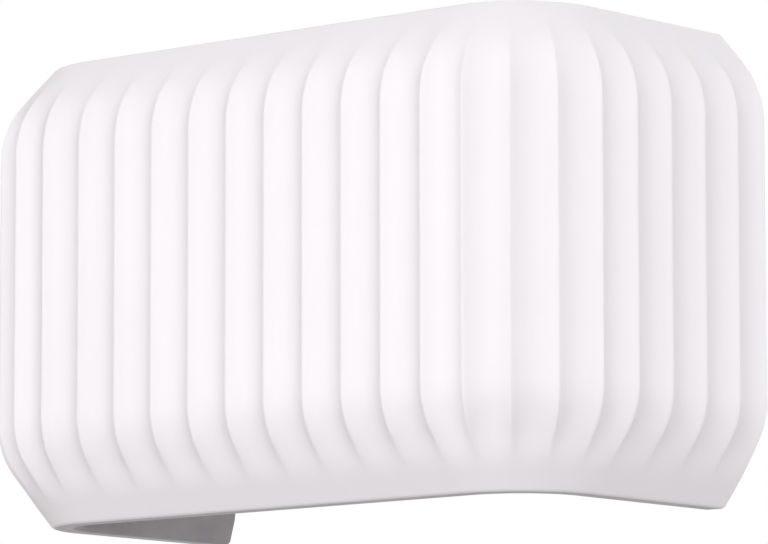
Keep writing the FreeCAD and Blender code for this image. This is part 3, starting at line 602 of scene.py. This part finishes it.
def shade_points():
    """Grid of the shade's surface points, round the section and then along the outline, and how
    far inside the casting each point of the section is."""
    low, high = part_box("plaster_shade")
    front_half = high.x - corner_radius
    half_run = front_half + corner_radius * math.pi / 2 + (high.y - low.y - corner_radius)
    ring = section_ring(section_corners(high.z))
    edges = arris_places(front_half)
    along = stations(edges, half_run)
    plan, normals = outline_at(along, front_half, low.y)
    fades = flute_fades(ring, high.z)
    depths = flute_depth * fades[:, None] * flute_profile(along, edges)[None, :]
    depths = depths + back_edge_depths(along, half_run)
    inset = ring[:, :1] - depths * ring[:, 2:3]
    height = ring[:, 1:2] - depths * ring[:, 3:4]
    flat = plan[None, :, :] - inset[:, :, None] * normals[None, :, :]
    inside = smooth_step((ring[:, 2] - inside_start) / (inside_full - inside_start))
    return np.concatenate([flat, height[:, :, None]], axis=2), inside


def casting_mesh():
    """The grid as one closed mesh, smooth but for its two flat ends at the wall."""
    points, inside = shade_points()
    around, along = points.shape[:2]
    index = np.arange(around * along).reshape(around, along)
    following = np.roll(index, -1, axis=0)
    quads = np.stack([index[:, :-1], index[:, 1:], following[:, 1:], following[:, :-1]], axis=2)
    caps = [tuple(index[::-1, -1]), tuple(index[:, 0])]
    mesh = bpy.data.meshes.new("shade_casting")
    mesh.from_pydata(points.reshape(-1, 3).tolist(), [], quads.reshape(-1, 4).tolist() + caps)
    marks = mesh.attributes.new(inside_mark, "FLOAT", "POINT")
    marks.data.foreach_set("value", np.repeat(inside, along))
    mesh.shade_smooth()
    surface = bmesh.new()
    surface.from_mesh(mesh)
    ends = [face for face in surface.faces if len(face.verts) > 4]
    for face in ends:
        face.smooth = False
    bmesh.ops.triangulate(surface, faces=ends)
    bmesh.ops.recalc_face_normals(surface, faces=surface.faces)
    surface.to_mesh(mesh)
    surface.free()
    return mesh


def add_object(name, data):
    """New object in the scene."""
    made = bpy.data.objects.new(name, data)
    bpy.context.scene.collection.objects.link(made)
    return made


def make_shade(material):
    """The fluted casting, with softened arrises and flutes that fade out towards the rims."""
    piece = add_object("shade_casting", casting_mesh())
    dress(piece, material)
    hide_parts("plaster_shade")
    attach(piece, "shade")


def backdrop_seen(tree):
    """One for the rays that the camera, glossy reflections and glass send out, else nought."""
    path = node(tree, "ShaderNodeLightPath").outputs
    reflected = calculate(tree, "MAXIMUM", path["Is Glossy Ray"], path["Is Transmission Ray"])
    return calculate(tree, "MAXIMUM", path["Is Camera Ray"], reflected)


def floor_finish():
    """Pale floor that glows a little where it is looked at, and keeps its shadows."""
    material, tree, shader = common_finish(
        "floor", floor_colour, darker=0.98, stain_grain=floor_stain_grain, rough=(0.7, 0.8),
        rough_grain=floor_rough_grain)
    glow = calculate(tree, "MULTIPLY", backdrop_seen(tree), floor_glow)
    tree.links.new(glow, shader.inputs["Emission Strength"])
    shader.inputs["Emission Color"].default_value = (1, 1, 1, 1)
    return material


def make_floor():
    """Square floor far below the object, so that no view from below is cut off by it."""
    corners = [(x, y, 0) for x, y in ((-1, -1), (1, -1), (1, 1), (-1, 1))]
    mesh = bpy.data.meshes.new("floor")
    mesh.from_pydata([Vector(corner) * (floor_size / 2) for corner in corners], [], [(0, 1, 2, 3)])
    floor = add_object("floor", mesh)
    floor.location.z = floor_height
    dress(floor, floor_finish())
    floor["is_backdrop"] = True


def make_world():
    """Soft light with a level of its own from each side, and white where it is looked at."""
    world = bpy.data.worlds.new("studio")
    bpy.context.scene.world = world
    world.use_nodes = True
    tree = world.node_tree
    background = tree.nodes["Background"]
    direction = node(tree, "ShaderNodeTexCoord")
    parts = node(tree, "ShaderNodeSeparateXYZ")
    tree.links.new(direction.outputs["Generated"], parts.inputs["Vector"])
    level = 0
    for part, (behind, ahead) in zip(parts.outputs, world_levels):
        is_ahead = calculate(tree, "GREATER_THAN", part, 0)
        side = spread(tree, is_ahead, behind, ahead, source_low=0, source_high=1)
        square = calculate(tree, "MULTIPLY", part, part)
        level = calculate(tree, "MULTIPLY_ADD", square, side, level)
    strength = mix(tree, "FLOAT", backdrop_seen(tree), level, 1.0)
    tree.links.new(strength, background.inputs["Strength"])
    background.inputs["Color"].default_value = (1, 1, 1, 1)


def direction_from(azimuth, elevation):
    """Unit vector from the object towards the room; azimuth 0 is straight out from the wall."""
    level = math.cos(elevation)
    return Vector((math.sin(azimuth) * level, -math.cos(azimuth) * level, math.sin(elevation)))


def make_lights():
    """Soft rectangular lights, all at one distance and facing the middle of the object."""
    low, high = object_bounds()
    middle = (Vector(low) + Vector(high)) / 2
    for name, (azimuth, elevation, power) in lights.items():
        lamp = bpy.data.lights.new(name, "AREA")
        lamp.shape = "RECTANGLE"
        lamp.size = light_width
        lamp.size_y = light_height
        lamp.energy = power
        light = add_object(name, lamp)
        heading = direction_from(math.radians(azimuth), math.radians(elevation))
        light.location = middle + heading * light_distance
        light.rotation_euler = heading.to_track_quat("Z", "Y").to_euler()


def make_camera():
    """The photograph's view: the camera is turned by its yaw, then its pitch, then its roll."""
    ahead = Vector((-math.sin(camera_yaw), math.cos(camera_yaw), 0))
    right = Vector((math.cos(camera_yaw), math.sin(camera_yaw), 0))
    up = Vector((0, 0, 1))
    heading = ahead * math.cos(camera_pitch) + up * math.sin(camera_pitch)
    upright = up * math.cos(camera_pitch) - ahead * math.sin(camera_pitch)
    side = right * math.cos(camera_roll) + upright * math.sin(camera_roll)
    top = upright * math.cos(camera_roll) - right * math.sin(camera_roll)
    axes = Matrix((side, top, -heading)).transposed()
    lens = bpy.data.cameras.new("camera")
    lens.lens = camera_lens
    camera = add_object("camera", lens)
    camera.matrix_world = Matrix.Translation(camera_place) @ axes.to_4x4()
    bpy.context.scene.camera = camera


make_camera()
materials = make_materials(frame["record"])
dress_frame(frame["record"], materials)
make_shade(materials["plaster"])
make_floor()
make_world()
make_lights()
bpy.context.scene.view_settings.view_transform = "Standard"
